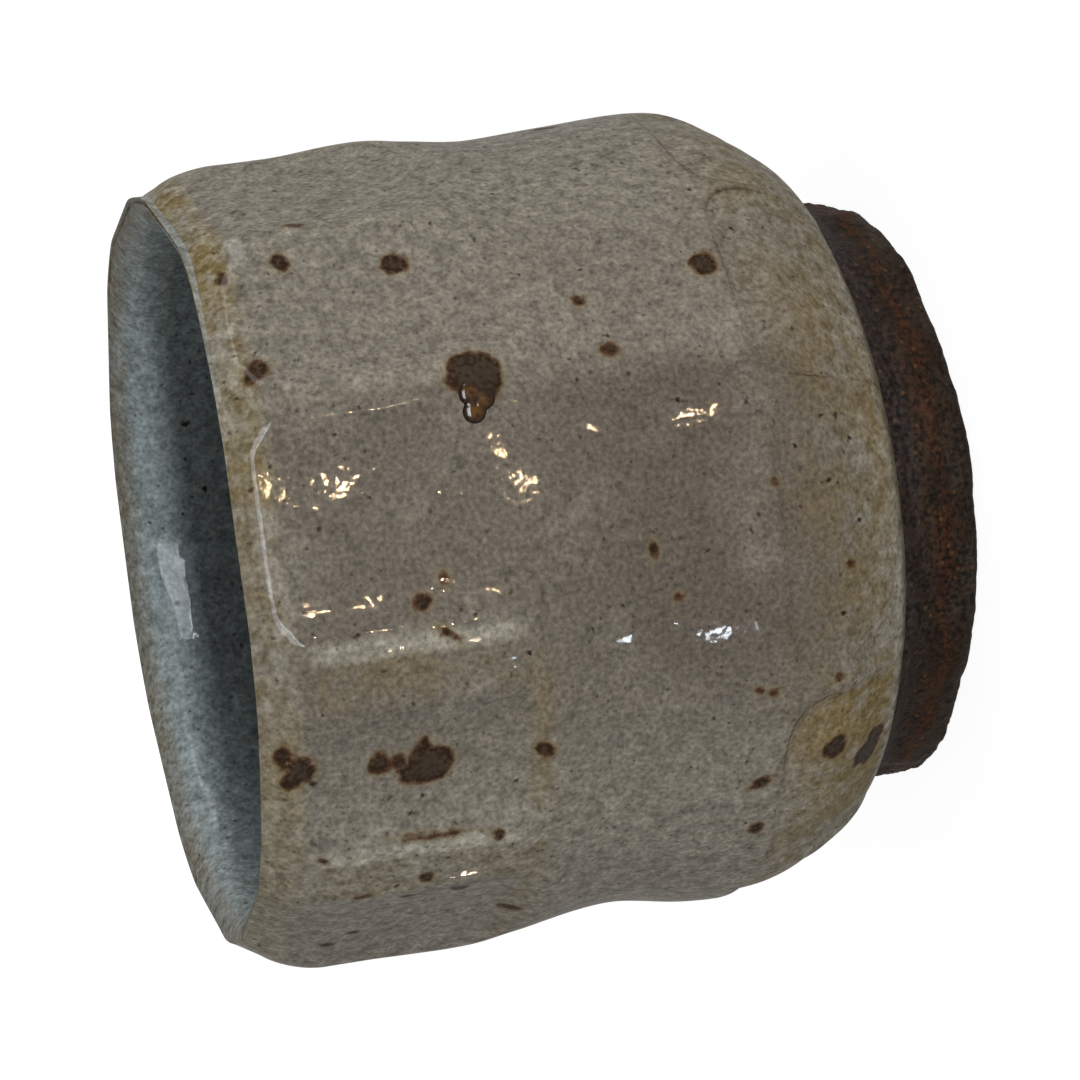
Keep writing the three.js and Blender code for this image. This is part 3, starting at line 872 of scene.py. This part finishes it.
class TeaCupSettings(bpy.types.PropertyGroup):
    """Sizes and colours of the cup."""
    facet_hollow: bpy.props.FloatProperty(
        name="Facet hollow", description="Depth of the hollow in each facet", default=FACET_HOLLOW,
        unit="LENGTH")
    edge_round: bpy.props.FloatProperty(
        name="Edge round", description="Rounding where a facet meets a rib", default=EDGE_ROUND,
        unit="LENGTH")
    wander: bpy.props.FloatProperty(
        name="Wander", description="Unevenness of the hand-thrown wall", default=WANDER, unit="LENGTH")
    glaze_grey: colour("Glaze grey", "Glaze over most of the wall", "#767166")
    glaze_mauve: colour("Glaze mauve", "Thick glaze in the middle of the wall", "#554e45")
    glaze_pooled: colour("Glaze pooled", "Milky glaze beside the ribs", "#8f8b7d")
    glaze_thin: colour("Glaze thin", "Olive-brown glaze on edges", "#726340")
    liner_pale: colour("Liner pale", "Glaze inside the lip", "#828a88")
    # Painted shade: the darker liner colour stands for shade deep inside the cup
    liner_deep_shade: colour("Liner deep", "Glaze deep inside the cup", "#788080")
    speck: colour("Speck", "Small iron specks", "#1f150b")
    spot_rim: colour("Spot rim", "Rust rim of the iron spots", "#3c1a0b")
    spot_heart: colour("Spot heart", "Middle of the iron spots", "#3b3228")
    clay_dark: colour("Clay dark", "Dark bare clay", "#1c1209")
    clay_brown: colour("Clay brown", "Bare clay on the side of the foot", "#2a2018")
    clay_rust: colour("Clay rust", "Rust-red flashing on the foot", "#3c1f0f")
    clay_purple: colour("Clay purple", "Purple-grey clay under the glaze line", "#2d2725")
    clay_edge: colour("Clay edge", "Grey-brown lower edge of the foot", "#2c2620")
    clay_grog: colour("Clay grog", "Tan grit in the bare clay", "#6b4a2c")
    drip_thin: colour("Drip thin", "Dark edge of the amber run", "#1c0c02")
    drip_thick: colour("Drip thick", "Thick middle of the amber run", "#6a481a")
    lens: bpy.props.FloatProperty(
        name="Lens", description="Focal length of the camera in mm", default=113.3, unit="CAMERA")


def finish_piece(piece, node):
    for key in (*CUT_LAYERS, "low_cut"):
        if key in piece.data.attributes:
            piece.data.attributes.remove(piece.data.attributes[key])
    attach(piece, "root")
    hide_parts(node)


def cut_piece(name, mesh, finish_name, settings):
    """Places a thrown form and cuts its facets with the node tree."""
    tree = bpy.data.node_groups.get("Cut facets") or facet_tree()
    values = {"Scoop": settings.facet_hollow, "Edge Round": settings.edge_round, "Wander": settings.wander,
              "Material": finish(finish_name, settings)}
    return run_tree(place(name, mesh), tree, values)


def glaze_depth(profile, share):
    """Depth of the coat along the outside, thicker in the rolled edge over the foot."""
    rolled = 1 - smoothstep(profile[:, 1], GLAZE_LINE, GLAZE_LINE + 2 * MM)
    return GLAZE * (share + 0.6 * rolled)[:, None]


class TEACUP_OT_outer_glaze(bpy.types.Operator):
    """Builds the glazed outside with its facets, ribs and rolled edge over the foot"""
    bl_idname = "teacup.outer_glaze"
    bl_label = "Outer glaze"

    def execute(self, context):
        settings = context.scene.tea_cup
        outer = outside_profile(OUTSIDE_ROWS)
        inner = outer + inward(outer) * glaze_depth(outer, 1)
        inner[-1] = (CREST_RADIUS, HEIGHT - GLAZE)
        inner[0] = (FOOT_RADIUS + 1.2 * MM, GLAZE_LINE)
        keep = np.unique(np.linspace(0, len(inner) - 1, OUTSIDE_BACK_ROWS).astype(int))[::-1]
        rows = np.vstack([outer, inner[keep]])
        thrown = np.vstack([outer, outer[keep]])
        angle = around(COLUMNS)
        sag = lip_sag(angle, thrown[:, 1])
        mesh = ring_mesh("outer_glaze_wall", rows, COLUMNS, True, draw_in(angle, thrown[:, 1]), sag, {
            "thrown_radius": np.where(thrown[:, 1] > LIP_EDGE, LIP_RADIUS, thrown[:, 0]),
            "thrown_height": thrown[:, 1],
            "share": np.ones(len(rows)),
        }, (0, len(outer) - 1, len(outer)))
        piece = cut_piece("outer_glaze_wall", mesh, ASH_GLAZE, settings)
        dress(piece.data, False)
        finish_piece(piece, "outer_glaze")
        return {"FINISHED"}


class TEACUP_OT_liner_glaze(bpy.types.Operator):
    """Builds the glazed inside from the crest of the lip to the floor"""
    bl_idname = "teacup.liner_glaze"
    bl_label = "Liner glaze"

    def execute(self, context):
        settings = context.scene.tea_cup
        inner = inside_profile(LINER_ROWS)
        clay = inner + inward(inner) * GLAZE
        clay[0] = (CREST_RADIUS, HEIGHT - GLAZE)
        clay[-1] = (inner[-1, 0], FLOOR_TOP - GLAZE)
        keep = np.unique(np.linspace(0, len(clay) - 1, LINER_BACK_ROWS).astype(int))[::-1]
        rows = np.vstack([clay[keep], inner])
        level = np.concatenate([inner[keep, 1], inner[:, 1]])
        follow = 1 - smoothstep(HEIGHT - level, 0, LIP_DROP)
        angle = around(COLUMNS)
        pulled = mouth_follow(angle, level)
        mesh = ring_mesh("liner_glaze_wall", rows, COLUMNS, False, pulled, lip_sag(angle, level), {
            "thrown_radius": np.full(len(rows), LIP_RADIUS),
            "thrown_height": np.full(len(rows), HEIGHT),
            "share": follow,
        }, (len(keep) - 1, len(keep)))
        piece = cut_piece("liner_glaze_wall", mesh, ASH_GLAZE, settings)
        dress(piece.data, True)
        finish_piece(piece, "liner_glaze")
        return {"FINISHED"}


class TEACUP_OT_clay_body(bpy.types.Operator):
    """Builds the clay wall and floor behind the glaze"""
    bl_idname = "teacup.clay_body"
    bl_label = "Clay body"

    def execute(self, context):
        settings = context.scene.tea_cup
        outer = outside_profile(CLAY_OUTSIDE_ROWS)
        wall = outer + inward(outer) * glaze_depth(outer, CLAY_GAP)
        wall[-1] = (CREST_RADIUS, HEIGHT - GLAZE * CLAY_GAP)
        wall[0] = (FOOT_RADIUS + 1.2 * MM, GLAZE_LINE)
        inner = inside_profile(CLAY_INSIDE_ROWS)
        lining = inner + inward(inner) * GLAZE * CLAY_GAP
        lining[-1] = (inner[-1, 0], FLOOR_TOP - GLAZE * CLAY_GAP)
        seat_radii = (0.2 * MM, FOOT_RADIUS * 0.5, FOOT_RADIUS + 0.9 * MM)
        seat = np.array([(radius, FOOT_HEIGHT) for radius in seat_radii])
        below = len(seat) + len(outer)
        rows = np.vstack([seat, wall, lining[1:]])
        height = np.concatenate([seat[:, 1], outer[:, 1], np.full(len(lining) - 1, HEIGHT)])
        radius = np.concatenate([seat[:, 0], outer[:, 0], np.full(len(lining) - 1, LIP_RADIUS)])
        follow = 1 - smoothstep(HEIGHT - inner[1:, 1], 0, LIP_DROP)
        angle = around(CLAY_COLUMNS)
        pulled = np.vstack([draw_in(angle, height[:below]), mouth_follow(angle, inner[1:, 1])])
        pulled[:2] = 0
        level = np.concatenate([height[:below], inner[1:, 1]])
        mesh = ring_mesh("clay_wall", rows, CLAY_COLUMNS, False, pulled, lip_sag(angle, level), {
            "thrown_radius": np.where(height > LIP_EDGE, LIP_RADIUS, radius),
            "thrown_height": height,
            "share": np.concatenate([np.zeros(len(seat)), np.ones(len(wall)), follow]),
        }, (len(seat) - 1,))
        piece = cut_piece("clay_wall", mesh, BARE_CLAY, settings)
        finish_piece(piece, "clay_body")
        return {"FINISHED"}


class TEACUP_OT_foot_ring(bpy.types.Operator):
    """Builds the bare foot ring with its hand-cut, uneven side"""
    bl_idname = "teacup.foot_ring"
    bl_label = "Foot ring"

    def execute(self, context):
        settings = context.scene.tea_cup
        r = FOOT_RADIUS
        h = FOOT_HEIGHT
        hole = r - FOOT_WIDTH
        side = spline([(r - 1.2 * MM, 0), (r - 0.1 * MM, 0.7 * MM), (r + 0.4 * MM, 0.4 * h),
                       (r + 0.5 * MM, 0.75 * h), (r + 0.9 * MM, h)], FOOT_SIDE_ROWS)
        bore = spline([(hole - 1 * MM, h), (hole - 0.2 * MM, 0.7 * h), (hole, 0.8 * MM),
                       (hole + 0.8 * MM, 0)], FOOT_BORE_ROWS)
        flat = np.linspace(bore[-1, 0], side[0, 0], FOOT_BASE_ROWS + 2)[1:-1]
        base = np.stack([flat, np.zeros(FOOT_BASE_ROWS)], axis=1)
        rows = np.vstack([side, bore, base])
        mesh = ring_mesh("foot_ring_clay", rows, FOOT_COLUMNS, True)
        points = vertex_points(mesh)
        angle = np.arctan2(points[:, 0], -points[:, 1])
        radius = np.hypot(points[:, 0], points[:, 1])
        outside = smoothstep(radius, r - 3 * MM, r - 1 * MM)
        outer = outside * (1 - smoothstep(points[:, 2], h - 2 * MM, h))
        wander = sum(size * np.sin(waves * angle + start) for waves, size, start in FOOT_WAVES)
        rough = np.array([noise.fractal(Vector(p) / FOOT_GRAIN, *FOOT_NOISE) for p in points])
        radius = radius + outer * (wander + 0.4 * rough - 0.3) * MM
        radius = radius - outside * FOOT_OVAL * np.sin(angle) ** 2
        radius = radius - outside * FOOT_LEAN * np.sin(angle) * np.clip(1 - points[:, 2] / h, 0, 1)
        points[:, 0] = radius * np.sin(angle)
        points[:, 1] = -radius * np.cos(angle)
        mesh.vertices.foreach_set("co", points.reshape(-1))
        mesh.update()
        mesh.materials.append(finish(BARE_CLAY, settings))
        finish_piece(place("foot_ring_clay", mesh), "foot_ring")
        return {"FINISHED"}


class TEACUP_OT_glaze_drip(bpy.types.Operator):
    """Builds the amber run of glaze under the largest iron spot"""
    bl_idname = "teacup.glaze_drip"
    bl_label = "Glaze drip"

    def execute(self, context):
        settings = context.scene.tea_cup
        wall = bpy.data.objects["outer_glaze_wall"]
        shell = bmesh.new()
        for turn, level, radius in DRIP_LOBES:
            angle = math.radians(turn)
            reach = Vector((BODY_RADIUS * math.sin(angle), -BODY_RADIUS * math.cos(angle), level * MM))
            _, spot, normal, _ = wall.closest_point_on_mesh(reach)
            turned = normal.to_track_quat("Z", "Y").to_matrix().to_4x4()
            flat = Matrix.Diagonal((1, 1, DRIP_FLATNESS, 1))
            bmesh.ops.create_uvsphere(shell, u_segments=24, v_segments=12, radius=radius * MM,
                                      matrix=Matrix.Translation(spot) @ turned @ flat)
        mesh = bpy.data.meshes.new("glaze_drip")
        shell.to_mesh(mesh)
        shell.free()
        piece = place("glaze_drip", mesh)
        joined = piece.modifiers.new("Run together", "REMESH")
        joined.mode = "VOXEL"
        joined.voxel_size = DRIP_VOXEL
        eased = piece.modifiers.new("Ease", "SMOOTH")
        eased.iterations = 6
        flatten(piece)
        rise = []
        for vertex in piece.data.vertices:
            _, spot, normal, _ = wall.closest_point_on_mesh(vertex.co)
            rise.append((vertex.co - spot).dot(normal) / MM)
        write(piece.data, "rise", rise)
        piece.data.shade_smooth()
        piece.data.materials.append(finish(AMBER_RUN, settings))
        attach(piece, "root")
        return {"FINISHED"}


def seen_white(add):
    """1 for a ray that shows the background to the eye: straight, in a gloss or through glass."""
    path = add("LightPath").node.outputs
    direct = add("Math", [path["Is Camera Ray"], path["Is Glossy Ray"]], operation="ADD")
    return add("Math", [direct, path["Is Transmission Ray"]], operation="ADD", use_clamp=True)


class TEACUP_OT_stage(bpy.types.Operator):
    """Builds the white floor, the soft light and the camera at the photograph's angle"""
    bl_idname = "teacup.stage"
    bl_label = "Stage"

    def execute(self, context):
        settings = context.scene.tea_cup
        scene = context.scene
        scene.view_settings.view_transform = "Standard"

        # Floor, white to the eye, with the cup's shadow kept
        mesh = bpy.data.meshes.new("studio_floor")
        corners = [(x * FLOOR_REACH, y * FLOOR_REACH, 0) for x, y in ((-1, -1), (1, -1), (1, 1), (-1, 1))]
        mesh.from_pydata(corners, [], [(0, 1, 2, 3)])
        floor = place("studio_floor", mesh)
        paper, add = blank_material("White studio paper")
        matt = add("BsdfDiffuse", [linear("#7c7c7c")])
        spread = add("TexCoord", out="Object")
        off = add("VectorMath", [spread], out="Value", operation="LENGTH")
        white = add("MapRange", [off, FLOOR_NEAR[0], FLOOR_NEAR[1], FLOOR_WHITE[0], FLOOR_WHITE[1]])
        level = add("Math", [seen_white(add), white], operation="MULTIPLY")
        glow = add("Emission", [(1, 1, 1, 1), level])
        both = add("AddShader", [matt, glow])
        add("OutputMaterial", [both])
        mesh.materials.append(paper)

        # World: white to the eye, plain soft light on the cup
        world = bpy.data.worlds.new("Studio")
        world.use_nodes = True
        scene.world = world
        world.node_tree.nodes.clear()
        add = partial(add_node, world.node_tree)
        level = add("MapRange", {0: seen_white(add), 3: WORLD_LIGHT, 4: WORLD_WHITE})
        sky = add("Background", [(1, 1, 1, 1), level])
        add("OutputWorld", [sky])

        for name, place_at, wide, tall, power, tint in LAMPS:
            lamp = bpy.data.lights.new(name, "AREA")
            lamp.shape = "RECTANGLE"
            lamp.size = wide
            lamp.size_y = tall
            lamp.energy = power
            lamp.color = linear(tint)[:3]
            holder = bpy.data.objects.new(name, lamp)
            holder.location = place_at
            aim = LAMP_AIM - Vector(place_at)
            holder.rotation_euler = aim.to_track_quat("-Z", "Y").to_euler()
            holder.visible_camera = False
            holder.visible_glossy = not name.endswith("_fill")
            holder.visible_diffuse = not name.endswith("_gloss")
            scene.collection.objects.link(holder)

        away = Vector((0, -math.cos(CAMERA_LIFT), math.sin(CAMERA_LIFT)))
        right = Vector((1, 0, 0))
        up = Vector((0, math.sin(CAMERA_LIFT), math.cos(CAMERA_LIFT)))
        x_axis = right * math.cos(CAMERA_ROLL) + up * math.sin(CAMERA_ROLL)
        y_axis = up * math.cos(CAMERA_ROLL) - right * math.sin(CAMERA_ROLL)
        camera = bpy.data.cameras.new("photo_camera")
        camera.lens = settings.lens
        camera.sensor_width = SENSOR_WIDTH
        camera.shift_x = SHIFT_PIXELS[0] / FRAME_PIXELS
        camera.shift_y = SHIFT_PIXELS[1] / FRAME_PIXELS
        camera.clip_start = 0.01
        holder = bpy.data.objects.new("photo_camera", camera)
        turn = Matrix((x_axis, y_axis, away)).transposed().to_4x4()
        holder.matrix_world = Matrix.Translation(Vector((0, 0, HEIGHT / 2)) + away * CAMERA_AWAY) @ turn
        scene.collection.objects.link(holder)
        scene.camera = holder
        return {"FINISHED"}


class TEACUP_PT_panel(bpy.types.Panel):
    """Buttons for each piece of the cup"""
    bl_idname = "TEACUP_PT_panel"
    bl_label = "Tea Cup"
    bl_space_type = "VIEW_3D"
    bl_region_type = "UI"
    bl_category = "Tea Cup"

    def draw(self, context):
        settings = context.scene.tea_cup
        for key in settings.bl_rna.properties.keys():
            if key not in ("rna_type", "name"):
                self.layout.prop(settings, key)
        for operator in OPERATORS:
            self.layout.operator(operator.bl_idname)


OPERATORS = (
    TEACUP_OT_outer_glaze,
    TEACUP_OT_liner_glaze,
    TEACUP_OT_clay_body,
    TEACUP_OT_foot_ring,
    TEACUP_OT_glaze_drip,
    TEACUP_OT_stage,
)
CLASSES = (TeaCupSettings, *OPERATORS, TEACUP_PT_panel)


def register():
    for cls in CLASSES:
        bpy.utils.register_class(cls)
    bpy.types.Scene.tea_cup = bpy.props.PointerProperty(type=TeaCupSettings)


def unregister():
    del bpy.types.Scene.tea_cup
    for cls in reversed(CLASSES):
        bpy.utils.unregister_class(cls)


def main():
    register()
    bpy.ops.teacup.outer_glaze()
    bpy.ops.teacup.liner_glaze()
    bpy.ops.teacup.clay_body()
    bpy.ops.teacup.foot_ring()
    bpy.ops.teacup.glaze_drip()
    bpy.ops.teacup.stage()


if __name__ == "__main__":
    main()
